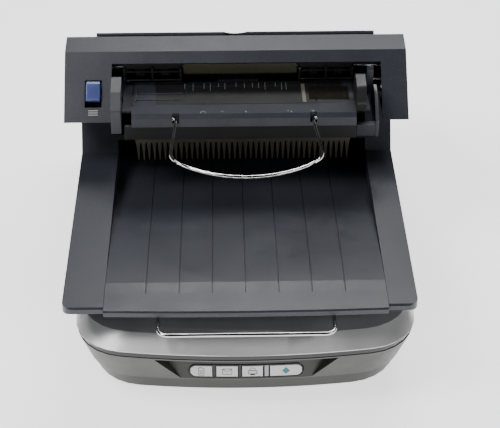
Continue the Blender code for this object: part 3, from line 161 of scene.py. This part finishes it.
def polished(name, colour, rough, metallic=0.0, streaks=(1.0, 1.0, 1.0)):
    """A smooth hard surface with hairline scratches, faint haze and a little dust."""
    g = Graph(name)
    scratches = g.noise(900.0, 3.0, 0.6, g.stretched(streaks))
    haze = g.noise(35.0, 5.0, 0.65)
    dust = g.cells(420.0)
    tone = g.mix(g.spread(haze, 0.35, 0.65), shade(colour, 0.92), shade(colour, 1.06))
    tone = g.mix(g.spread(dust, 0.0, 0.05, 0.25, 0.0), tone, shade(colour, 0.8 if metallic else 3.0))
    g.bump((scratches, 0.06, 0.00003), (haze, 0.03, 0.0002))
    return g.done(tone, g.spread(haze, 0.3, 0.7, max(0.02, rough - 0.03), rough + 0.06), metallic)


def rubbery(name, colour, rough=0.78):
    g = Graph(name)
    fine = g.noise(1100.0, 4.0, 0.7)
    powder = g.noise(80.0, 6.0, 0.7)
    tone = g.mix(g.spread(powder, 0.45, 0.75, 0.0, 0.5), shade(colour, 0.9), shade(colour, 2.2))
    tone = g.mix(g.spread(fine, 0.5, 0.8, 0.0, 0.4), tone, shade(colour, 1.6))
    g.bump((fine, 0.35, 0.0001), (powder, 0.1, 0.0003))
    return g.done(tone, g.spread(powder, 0.3, 0.7, rough - 0.08, rough + 0.1))


def glassy(name, colour, rough=0.03):
    g = Graph(name)
    smudge = g.noise(22.0, 6.0, 0.7)
    dust = g.cells(260.0)
    tone = g.mix(g.spread(dust, 0.0, 0.03, 0.3, 0.0), colour, (0.7, 0.72, 0.7))
    g.bump((smudge, 0.02, 0.0002), (dust, 0.03, 0.00003))
    roughness = g.spread(smudge, 0.45, 0.75, rough, rough + 0.09)
    return g.done(tone, roughness, 0.0, Transmission_Weight=0.92, IOR=1.5)


def circuit(name):
    """Solder resist over copper tracks, with plated spots."""
    g = Graph(name)
    tracks = g.tree.nodes.new("ShaderNodeTexBrick")
    tracks.inputs["Scale"].default_value = 160.0
    tracks.inputs["Mortar Size"].default_value = 0.035
    tracks.inputs["Color1"].default_value = (0.012, 0.12, 0.05, 1.0)
    tracks.inputs["Color2"].default_value = (0.016, 0.15, 0.06, 1.0)
    tracks.inputs["Mortar"].default_value = (0.03, 0.24, 0.1, 1.0)
    g.link(g.place, tracks.inputs["Vector"])
    pads = g.cells(230.0)
    grime = g.noise(50.0, 5.0)
    tone = g.mix(g.spread(pads, 0.0, 0.16, 1.0, 0.0), tracks.outputs["Color"], (0.45, 0.42, 0.3))
    g.bump((tracks.outputs["Fac"], 0.3, 0.0001), (pads, 0.2, 0.0001))
    return g.done(tone, g.spread(grime, 0.3, 0.7, 0.3, 0.5))


CHARCOAL = (0.03, 0.033, 0.043)
MATERIALS = {
    "shell_charcoal": moulded("shell_charcoal", CHARCOAL, 0.36, 850.0, 0.5, 0.8),
    "shell_grey": moulded("shell_grey", (0.055, 0.057, 0.064), 0.42, 1500.0, 0.25, 0.35),
    "base_grey": moulded("base_grey", (0.03, 0.03, 0.028), 0.4, 1300.0, 0.35, 0.45),
    "silver": painted("silver", (0.6, 0.6, 0.6), 0.36, 0.3),
    "light_grey": moulded("light_grey", (0.42, 0.43, 0.44), 0.35, 1800.0, 0.1, 0.15),
    "gloss_black": polished("gloss_black", (0.008, 0.008, 0.009), 0.07),
    "inner_black": moulded("inner_black", (0.011, 0.011, 0.012), 0.45, 1200.0, 0.3, 0.35),
    "comb_beige": moulded("comb_beige", (0.15, 0.135, 0.1), 0.5, 1400.0, 0.15, 0.15),
    "olive": moulded("olive", (0.085, 0.083, 0.05), 0.42, 1600.0, 0.15, 0.25),
    "lever_blue": moulded("lever_blue", (0.05, 0.075, 0.27), 0.32, 1700.0, 0.12, 0.2, 0.2),
    "mat_white": rubbery("mat_white", (0.78, 0.78, 0.77), 0.7),
    "rubber": rubbery("rubber", (0.018, 0.018, 0.019)),
    "nylon": moulded("nylon", (0.66, 0.62, 0.54), 0.42, 1400.0, 0.1, 0.1),
    "lamp_white": polished("lamp_white", (0.85, 0.86, 0.86), 0.1),
    "circuit_green": circuit("circuit_green"),
    "steel": polished("steel", (0.56, 0.57, 0.58), 0.22, 1.0, (0.06, 1.0, 1.0)),
    "chrome": polished("chrome", (0.62, 0.61, 0.59), 0.09, 1.0),
    "clear_glass": glassy("clear_glass", (0.86, 0.93, 0.91)),
}
MARK_WHITE = moulded("mark_white", (0.6, 0.6, 0.58), 0.5, 1800.0, 0.08, 0.12)
MARK_DARK = moulded("mark_dark", (0.02, 0.021, 0.024), 0.5, 1800.0, 0.08, 0.2)
MARK_TEAL = moulded("mark_teal", (0.03, 0.22, 0.24), 0.4, 1800.0, 0.08, 0.15)
MARK_GREY = moulded("mark_grey", (0.2, 0.205, 0.21), 0.5, 1800.0, 0.1, 0.2)
SMOKE = glassy("smoke", (0.16, 0.14, 0.11), 0.12)

# ---- the CAD nodes: materials by slot, and softened edges ----
EDGE = 0.45
EDGES = {
    "feeder_cover": 1.1, "lid_frame": 1.2, "output_tray": 0.8, "base_tub": 1.3, "base_top_frame": 0.9,
    "rear_flap": 0.9, "release_lever": 0.9, "left_guide": 0.9, "edge_guide": 1.2, "input_tray": 0.6,
    "button_bezel": 0.25, "document_button": 0.3, "mail_button": 0.3, "copy_button": 0.3, "start_button": 0.3,
    "status_light": 0.2, "exit_comb": 0.2, "side_bracket": 0.7, "platen_glass": 0.25, "feeder_window": 0.25,
    "main_board": 0.15, "feeder_belt": 0.1, "drive_belt": 0.1, "feed_shaft": 0.15, "pickup_shaft": 0.15,
}
WIRES = ("support_wire", "stop_wire")
LOOKS = {"button_bezel": "gloss_black"}  # nodes whose finish differs from their slot's plain one


def smooth_group(angle):
    """Shades faces smooth and keeps edges sharper than the angle."""
    group = bpy.data.node_groups.new("smooth_edges", "GeometryNodeTree")
    group.interface.new_socket("Geometry", in_out="INPUT", socket_type="NodeSocketGeometry")
    group.interface.new_socket("Geometry", in_out="OUTPUT", socket_type="NodeSocketGeometry")
    start = group.nodes.new("NodeGroupInput")
    end = group.nodes.new("NodeGroupOutput")
    faces = group.nodes.new("GeometryNodeSetShadeSmooth")
    edges = group.nodes.new("GeometryNodeSetShadeSmooth")
    edges.domain = "EDGE"
    edges.inputs["Shade Smooth"].default_value = False
    fold = group.nodes.new("GeometryNodeInputMeshEdgeAngle")
    compare = group.nodes.new("FunctionNodeCompare")
    compare.data_type = "FLOAT"
    compare.operation = "GREATER_THAN"
    compare.inputs["B"].default_value = angle
    group.links.new(start.outputs[0], faces.inputs["Geometry"])
    group.links.new(faces.outputs["Geometry"], edges.inputs["Geometry"])
    group.links.new(fold.outputs["Unsigned Angle"], compare.inputs["A"])
    group.links.new(compare.outputs["Result"], edges.inputs["Selection"])
    group.links.new(edges.outputs["Geometry"], end.inputs[0])
    return group


SMOOTH = smooth_group(SMOOTH_ANGLE)

for sub in frame["record"]["subparts"]:
    node = frame["nodes"][sub["node"]]
    node.data.materials.clear()
    node.data.materials.append(MATERIALS[LOOKS.get(sub["node"], sub["material_slot"])])
    weld = node.modifiers.new("weld", "WELD")
    weld.merge_threshold = 0.01 * MM
    if sub["node"] in WIRES:
        round_off = node.modifiers.new("round", "SUBSURF")
        round_off.levels = 2
        round_off.render_levels = 2
    else:
        soften = node.modifiers.new("soften", "BEVEL")
        soften.width = EDGES.get(sub["node"], EDGE) * MM
        soften.segments = 3
        soften.limit_method = "ANGLE"
        soften.angle_limit = BEVEL_ANGLE
        soften.use_clamp_overlap = True
    smooth = node.modifiers.new("smooth", "NODES")
    smooth.node_group = SMOOTH
    if sub["node"] not in WIRES:
        even = node.modifiers.new("even", "WEIGHTED_NORMAL")
        even.keep_sharp = True
        even.weight = 100


# ---- detail pieces ----
TREES = {}


def surface(node):
    """A search tree of a CAD node's own faces."""
    if node not in TREES:
        data = frame["nodes"][node].data
        points = [v.co.copy() for v in data.vertices]
        TREES[node] = BVHTree.FromPolygons(points, [tuple(p.vertices) for p in data.polygons])
    return TREES[node]


def place_on(name, mesh, material, body):
    data = bpy.data.meshes.new(name)
    bmesh.ops.recalc_face_normals(mesh, faces=mesh.faces)
    mesh.to_mesh(data)
    mesh.free()
    data.materials.append(material)
    piece = bpy.data.objects.new(name, data)
    bpy.context.collection.objects.link(piece)
    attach(piece, body)
    return piece


class Patch:
    """A flat patch over a CAD node: u and v run along it and marks are laid on the surface below."""

    def __init__(self, node, centre, u, v):
        self.node = node
        self.centre = Vector(centre) * MM
        self.u = Vector(u).normalized()
        self.v = Vector(v).normalized()
        self.out = self.u.cross(self.v)

    def at(self, u, v, lift):
        start = self.centre + self.u * u * MM + self.v * v * MM
        found = surface(self.node).ray_cast(start + self.out * 15 * MM, -self.out, 40 * MM)[0]
        return (found or start) + self.out * lift * MM

    def slab(self, mesh, outline, lift, sunk=0.25):
        """A thin mark: its top stands lift above the surface, its edges are rounded off."""
        inner = shrink(outline, min(0.12, lift * 0.8))
        rings = [[mesh.verts.new(self.at(u, v, h)) for u, v in loop]
                 for loop, h in ((outline, -sunk), (outline, lift * 0.45), (inner, lift))]
        for near, far in zip(rings, rings[1:]):
            for i in range(len(near)):
                j = (i + 1) % len(near)
                mesh.faces.new((near[i], near[j], far[j], far[i]))
        mesh.faces.new(rings[-1])
        mesh.faces.new(list(reversed(rings[0])))


def shrink(outline, amount):
    count = len(outline)
    middle = (sum(p[0] for p in outline) / count, sum(p[1] for p in outline) / count)
    made = []
    for u, v in outline:
        du, dv = middle[0] - u, middle[1] - v
        reach = math.hypot(du, dv) or 1.0
        step = min(amount * 1.4, reach * 0.5)
        made.append((u + du / reach * step, v + dv / reach * step))
    return made


def bar(u0, u1, v0, v1):
    return [(u0, v0), (u1, v0), (u1, v1), (u0, v1)]


def disc(u, v, radius, steps=16):
    return [(u + radius * math.cos(2 * math.pi * i / steps), v + radius * math.sin(2 * math.pi * i / steps))
            for i in range(steps)]


def marks(name, patch, outlines, material, body, slot, lift=0.12):
    mesh = bmesh.new()
    for outline in outlines:
        patch.slab(mesh, outline, lift)
    return place_on(name, mesh, material, body)


def frame_of(outline, width):
    """Four or more bars along an outline."""
    made = []
    for (u0, v0), (u1, v1) in zip(outline, outline[1:] + outline[:1]):
        length = math.hypot(u1 - u0, v1 - v0) or 1.0
        nu, nv = -(v1 - v0) / length * width / 2, (u1 - u0) / length * width / 2
        made.append([(u0 - nu, v0 - nv), (u1 - nu, v1 - nv), (u1 + nu, v1 + nv), (u0 + nu, v0 + nv)])
    return made


def middle_of(node):
    low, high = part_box(node)
    return (Vector(low) + Vector(high)) / 2 / MM


# buttons: simple pictures of a sheet, an envelope and a printer, and a diamond for start
PANEL_LEAN = math.radians(10)
ICON = 1.45  # how far the signs are enlarged from their drawn size
FRONT_UP = (0.0, math.sin(PANEL_LEAN), math.cos(PANEL_LEAN))
for node in ("document_button", "mail_button", "copy_button", "start_button"):
    patch = Patch(node, middle_of(node), (1, 0, 0), FRONT_UP)
    if node == "document_button":
        lines = frame_of([(-1.6, -2.6), (1.6, -2.6), (1.6, 1.4), (0.4, 2.6), (-1.6, 2.6)], 0.35)
        lines += [bar(-0.9, 0.9, v, v + 0.3) for v in (-1.5, -0.6, 0.3)]
    elif node == "mail_button":
        lines = frame_of([(-2.8, -1.8), (2.8, -1.8), (2.8, 1.8), (-2.8, 1.8)], 0.35)
        lines += frame_of([(-2.7, 1.7), (0.0, -0.3), (2.7, 1.7), (0.0, -0.3)], 0.3)[:2]
    elif node == "copy_button":
        lines = frame_of([(-2.6, -1.6), (2.6, -1.6), (2.6, 0.6), (-2.6, 0.6)], 0.4)
        lines += frame_of([(-1.5, 0.7), (-1.5, 2.4), (1.5, 2.4), (1.5, 0.7)], 0.32)[:3]
        lines += [bar(-1.4, 1.4, -2.6, -1.5)]
    else:
        lines = [[(0.0, -2.4), (2.4, 0.0), (0.0, 2.4), (-2.4, 0.0)]]
    lines = [[(u * ICON, v * ICON) for u, v in line] for line in lines]
    colour = MARK_TEAL if node == "start_button" else MARK_DARK
    marks(node + "_sign", patch, lines, colour, node, "inner_black", 0.1)

# feeder cover: stripes under the lever, laid on the sloped face
FASCIA_UP = (0.0, 0.741872, 0.670539)
STRIPES_Y = 27.0
STRIPES_Z = 153.0
lever = middle_of("release_lever")
cover_patch = Patch("feeder_cover", (lever.x, STRIPES_Y, STRIPES_Z), (1, 0, 0), FASCIA_UP)
stripes = [bar(-4.5, 4.5, v, v + 0.7) for v in (1.5, 3.6, 5.7)]
marks("lever_stripes", cover_patch, stripes, MARK_WHITE, "cover", "light_grey")
lever_patch = Patch("release_lever", lever, (1, 0, 0), FASCIA_UP)
marks("lever_ridges", lever_patch, [bar(-4.6, 4.6, v, v + 0.9) for v in (-4.2, -2.2, -0.2, 1.8, 3.8)],
      MATERIALS["lever_blue"], "release_lever", "lever_blue", 0.35)

# feeder mouth: a cradle in front of each idler bracket, with bright studs and a rail
CRADLE_Y = 72.0


def cradle(node, name, y):
    low, high = (Vector(c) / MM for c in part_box(node))
    mesh = bmesh.new()
    middle = (low.x + high.x) / 2
    half = (high.x - low.x) / 2

    def block(x0, x1, y0, y1, z0, z1):
        corners = [mesh.verts.new(Vector(p) * MM) for p in (
            (x0, y0, z0), (x1, y0, z0), (x1, y1, z0), (x0, y1, z0),
            (x0, y0, z1), (x1, y0, z1), (x1, y1, z1), (x0, y1, z1))]
        for face in ((0, 1, 2, 3), (4, 5, 6, 7), (0, 1, 5, 4), (1, 2, 6, 5), (2, 3, 7, 6), (3, 0, 4, 7)):
            mesh.faces.new([corners[k] for k in face])

    for x in (middle - half + 1.0, middle, middle + half - 1.0):
        block(x - 1.0, x + 1.0, y - 1.2, y + 1.2, 165.5, 180.0)
    block(middle - half, middle + half, y - 0.8, y + 0.8, 175.0, 176.6)
    body = place_on(name + "_cradle", mesh, MATERIALS["inner_black"], "cover")
    edge = body.modifiers.new("soften", "BEVEL")
    edge.width = 0.3 * MM
    edge.segments = 2
    mesh = bmesh.new()
    for x0, x1 in ((middle - half + 2.4, middle - 1.6), (middle + 1.6, middle + half - 2.4)):
        block(x0, x1, y - 1.4, y - 0.2, 166.6, 167.7)
    for x in (middle - half + 1.0, middle, middle + half - 1.0):
        block(x - 0.7, x + 0.7, y - 1.7, y - 1.1, 177.4, 178.8)
    bright = place_on(name + "_rail", mesh, MATERIALS["chrome"], "cover")
    edge = bright.modifiers.new("soften", "BEVEL")
    edge.width = 0.25 * MM
    edge.segments = 2


for side in ("left", "right"):
    cradle("idler_bracket_" + side, "idler_" + side, CRADLE_Y)
low, high = (Vector(c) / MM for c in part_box("guide_bar"))
bar_patch = Patch("guide_bar", ((low.x + high.x) / 2, low.y, 183.5), (1, 0, 0), (0, 0, 1))
bar_half = (high.x - low.x) / 2
dots = [disc(-bar_half + bar_half * (2 * i + 1) / 8, 0.0, 0.7, 12) for i in range(8)]
marks("guide_bar_dots", bar_patch, dots, MARK_DARK, "cover", "inner_black", 0.25)

# input tray: size marks, and a black sheet of painted shade behind its edge where the feeder interior falls
# in shadow, with ribs, a strip and a smoked insert
TRAY_UP = (0.0, 0.994618, -0.103606)
# extent of the painted-shade sheet on the input tray, standing for the shadow inside the feeder
SHADE_SHEET_START = -15.5
SHADE_SHEET_END = 34.0
SHADE_SHEET_LEFT = -108.0
SHADE_SHEET_RIGHT = 111.0
RIB_TOP = 31.0
tray_patch = Patch("input_tray", (8.75, 42.0, 164.2), (1, 0, 0), TRAY_UP)
size_marks = [bar(x - 0.25, x + 0.25, -34.2, -32.6) for x in (-42.0, -38.0, 0.0, 42.0, 62.0)]
size_marks += [bar(x - 1.6, x + 1.6, -31.6, -31.3) for x in (-40.0, -22.0, 62.0)]
size_marks += [disc(x, -32.0, 0.45, 10) for x in (-0.5, 39.0)]
marks("tray_size_marks", tray_patch, size_marks, MARK_WHITE, "input_tray", "light_grey", 0.08)
# painted shade: near-black spans laid on the tray where the feeder interior is in shadow
shade_sheet_spans = ((SHADE_SHEET_LEFT, -57.0), (-56.2, 66.2), (67.0, SHADE_SHEET_RIGHT))
marks("tray_painted_shade", tray_patch, [bar(left, right, SHADE_SHEET_START, SHADE_SHEET_END) for left, right in shade_sheet_spans],
      MATERIALS["inner_black"], "input_tray", "inner_black", 0.3)
ribs = [(-58.0, 12.0), (-50.0, 17.0), (-39.5, 12.0), (-33.5, 17.0), (-25.5, 8.0), (-19.5, 14.0), (-8.7, 8.0),
        (-0.7, 11.0), (7.0, 10.0), (13.0, 11.0), (19.0, 15.0), (29.0, 8.0), (35.0, 15.0), (39.2, 15.0)]
marks("tray_ribs", tray_patch, [bar(x - 0.25, x + 0.25, RIB_TOP - tall, RIB_TOP) for x, tall in ribs],
      MARK_GREY, "input_tray", "shell_grey", 0.9)
marks("tray_line", tray_patch, [bar(-55.0, 50.0, 24.0, 24.4)], MARK_DARK, "input_tray", "inner_black", 0.7)
marks("tray_insert", tray_patch, [bar(60.0, 98.0, -8.0, 22.0)], SMOKE, "input_tray", "clear_glass", 0.6)
marks("tray_strip", tray_patch, [bar(53.5, 57.0, -14.0, 28.0)], MATERIALS["comb_beige"],
      "input_tray", "comb_beige", 0.7)
side_lines = [bar(-104.0, -59.0, v, v + 0.8) for v in (-6.0, 8.0)] + [bar(-104.0, -103.2, -10.0, 22.0)]
marks("tray_side_lines", tray_patch, side_lines, MATERIALS["shell_grey"], "input_tray", "shell_grey", 0.9)

# the deck beside the glass: a plain scale in centimetres and a corner pointer
SCALE_STEP = 10.0
SHORT_TICK = 3.0
LONG_TICK = 4.5
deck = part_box("base_top_frame")
glass_low, glass_high = (Vector(c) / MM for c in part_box("platen_glass"))
deck_z = deck[1][2] / MM
deck_patch = Patch("base_top_frame", (0.0, 0.0, deck_z), (1, 0, 0), (0, 1, 0))
scale = []
count = int((glass_high.y - glass_low.y) / SCALE_STEP)
for i in range(count):
    y = glass_high.y - SCALE_STEP * i
    tick = LONG_TICK if i % 5 == 0 else SHORT_TICK
    scale.append(bar(glass_low.x - tick, glass_low.x - 1.2, y - 0.15, y + 0.15))
count = int((glass_high.x - glass_low.x) / SCALE_STEP)
for i in range(count):
    x = glass_low.x + SCALE_STEP * i
    tick = LONG_TICK if i % 5 == 0 else SHORT_TICK
    scale.append(bar(x - 0.15, x + 0.15, glass_high.y + 1.2, glass_high.y + tick))
pointer = (glass_low.x - 8.5, glass_high.y + 3.5)
scale.append([pointer, (pointer[0] + 5.5, pointer[1] - 1.0), (pointer[0] + 1.6, pointer[1] - 4.2)])
marks("glass_scale", deck_patch, scale, MARK_DARK, "base", "inner_black", 0.05)


# screws with a cross recess
SCREW_SIDES = 24


def screws(name, node, spots, out, body, radius=3.0):
    out = Vector(out)
    side = Vector((1, 0, 0))
    up = out.cross(side)
    turns = [math.pi * 2 * i / SCREW_SIDES for i in range(SCREW_SIDES)]
    mesh = bmesh.new()
    for spot in spots:
        start = Vector(spot) * MM
        found = surface(node).ray_cast(start + out * 15 * MM, -out, 60 * MM)[0] or start
        rings = []
        for r, h in ((radius, -0.3), (radius, 0.25), (radius * 0.8, 0.7), (radius * 0.55, 0.85)):
            ring = []
            for a in turns:
                spoke = side * math.cos(a) * r + up * math.sin(a) * r
                ring.append(mesh.verts.new(found + (spoke + out * h) * MM))
            rings.append(ring)
        cross = []
        for i, a in enumerate(turns):
            r = radius * (0.5 if i % 6 == 0 else 0.16)
            spoke = side * math.cos(a) * r + up * math.sin(a) * r
            cross.append(mesh.verts.new(found + (spoke + out * 0.8) * MM))
        deep = [mesh.verts.new(v.co - out * 0.7 * MM) for v in cross]
        rings += [cross, deep]
        for near, far in zip(rings, rings[1:]):
            for i in range(SCREW_SIDES):
                j = (i + 1) % SCREW_SIDES
                mesh.faces.new((near[i], near[j], far[j], far[i]))
        mesh.faces.new(deep)
        mesh.faces.new(list(reversed(rings[0])))
    return place_on(name, mesh, MATERIALS["steel"], body)


tub_low, tub_high = (Vector(c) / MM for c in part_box("base_tub"))
mid_x = (tub_low.x + tub_high.x) / 2
base_spots = [(mid_x + sx * 92, y, tub_low.z) for sx in (-1, 1) for y in (-110, 30, 150)]
screws("base_screws", "base_tub", base_spots, (0, 0, -1), "base")
screws("lid_screws", "lid_frame", [(x, 221.0, 88.0) for x in (-128, -20, 30, 128)], (0, 1, 0), "lid", 2.6)

# underside and rear: vent slots
under_patch = Patch("base_tub", (mid_x, 0.0, tub_low.z), (-1, 0, 0), (0, 1, 0))
vents = [bar(-60.0 + 8.0 * i, -56.5 + 8.0 * i, 120.0, 150.0) for i in range(16)]
marks("base_vents", under_patch, vents, MARK_DARK, "base", "inner_black", 0.15)
rear_patch = Patch("base_tub", (mid_x, tub_high.y, 36.0), (-1, 0, 0), (0, 0, 1))
slots = [bar(-112.0 + 5.0 * i, -109.5 + 5.0 * i, -6.0, 6.0) for i in range(14)]
marks("rear_vents", rear_patch, slots, MARK_DARK, "base", "inner_black", 0.15)

# grip ribs on the sliding edge guide and the fixed guide
for node, body, material, slot in (("edge_guide", "edge_guide", "inner_black", "inner_black"),
                                   ("left_guide", "input_tray", "shell_grey", "shell_grey")):
    low, high = (Vector(c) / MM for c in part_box(node))
    centre = (high.x, (low.y + high.y) / 2, (low.z + high.z) / 2 + 6)
    patch = Patch(node, centre, (0, 1, 0), (0, 0, 1))
    marks(node + "_ribs", patch, [bar(-7.0 + 3.0 * i, -5.8 + 3.0 * i, -5.0, 5.0) for i in range(5)],
          MATERIALS[material], body, slot, 0.15)


# ---- floor, light and camera ----
def floor_material():
    g = Graph("floor")
    slow = g.noise(1.2, 3.0)
    tone = g.mix(g.spread(slow, 0.3, 0.7), (0.9, 0.9, 0.9), (0.92, 0.92, 0.92))
    roughness = g.spread(slow, 0.3, 0.7, 0.75, 0.85)
    return g.done(tone, roughness, Emission_Color=(1.0, 1.0, 1.0, 1.0), Emission_Strength=1.5)


floor_mesh = bmesh.new()
FLOOR_HALF = 30.0
FLOOR_Z = -0.0002
floor_corners = bar(-FLOOR_HALF, FLOOR_HALF, -FLOOR_HALF, FLOOR_HALF)
floor_mesh.faces.new([floor_mesh.verts.new((x, y, FLOOR_Z)) for x, y in floor_corners])
floor_data = bpy.data.meshes.new("floor")
floor_mesh.to_mesh(floor_data)
floor_mesh.free()
floor_data.materials.append(floor_material())
floor = bpy.data.objects.new("floor", floor_data)
bpy.context.collection.objects.link(floor)

world = bpy.data.worlds.new("studio")
bpy.context.scene.world = world
world.use_nodes = True
sky = world.node_tree.nodes
sky_place = sky.new("ShaderNodeTexCoord")
sky_height = sky.new("ShaderNodeSeparateXYZ")
sky_level = sky.new("ShaderNodeMapRange")
sky_level.inputs["From Min"].default_value = 0.0
sky_level.inputs["From Max"].default_value = 0.9
sky_level.inputs["To Min"].default_value = 1.0
sky_level.inputs["To Max"].default_value = 0.12
world.node_tree.links.new(sky_place.outputs["Generated"], sky_height.inputs["Vector"])
world.node_tree.links.new(sky_height.outputs["Z"], sky_level.inputs["Value"])
world.node_tree.links.new(sky_level.outputs["Result"], sky["Background"].inputs["Strength"])


def softbox(name, at, aim, width, height, power):
    light = bpy.data.lights.new(name, "AREA")
    light.shape = "RECTANGLE"
    light.size = width
    light.size_y = height
    light.energy = power
    obj = bpy.data.objects.new(name, light)
    bpy.context.collection.objects.link(obj)
    obj.location = at
    obj.rotation_euler = (Vector(aim) - Vector(at)).to_track_quat("-Z", "Y").to_euler()


LIT_POINT = (0.0, 0.0, 0.1)
softbox("key", (-0.9, -0.4, 1.5), LIT_POINT, 0.7, 0.7, 20.0)
softbox("top", (0.3, 0.9, 1.5), LIT_POINT, 1.3, 0.5, 22.0)
softbox("fill", (1.3, -1.2, 0.9), LIT_POINT, 0.8, 0.8, 6.0)

ELEVATION = math.radians(35.0)
HEADING = math.radians(1.15)
camera_data = bpy.data.cameras.new("camera")
camera_data.lens = 104.7
camera_data.sensor_width = 36.0
camera_data.clip_start = 0.01
camera = bpy.data.objects.new("camera", camera_data)
bpy.context.collection.objects.link(camera)
camera.location = (-0.011, -1.149, 0.863)
level = math.cos(ELEVATION)
ahead = Vector((math.sin(HEADING) * level, math.cos(HEADING) * level, -math.sin(ELEVATION)))
camera.rotation_euler = ahead.to_track_quat("-Z", "Y").to_euler()
bpy.context.scene.camera = camera
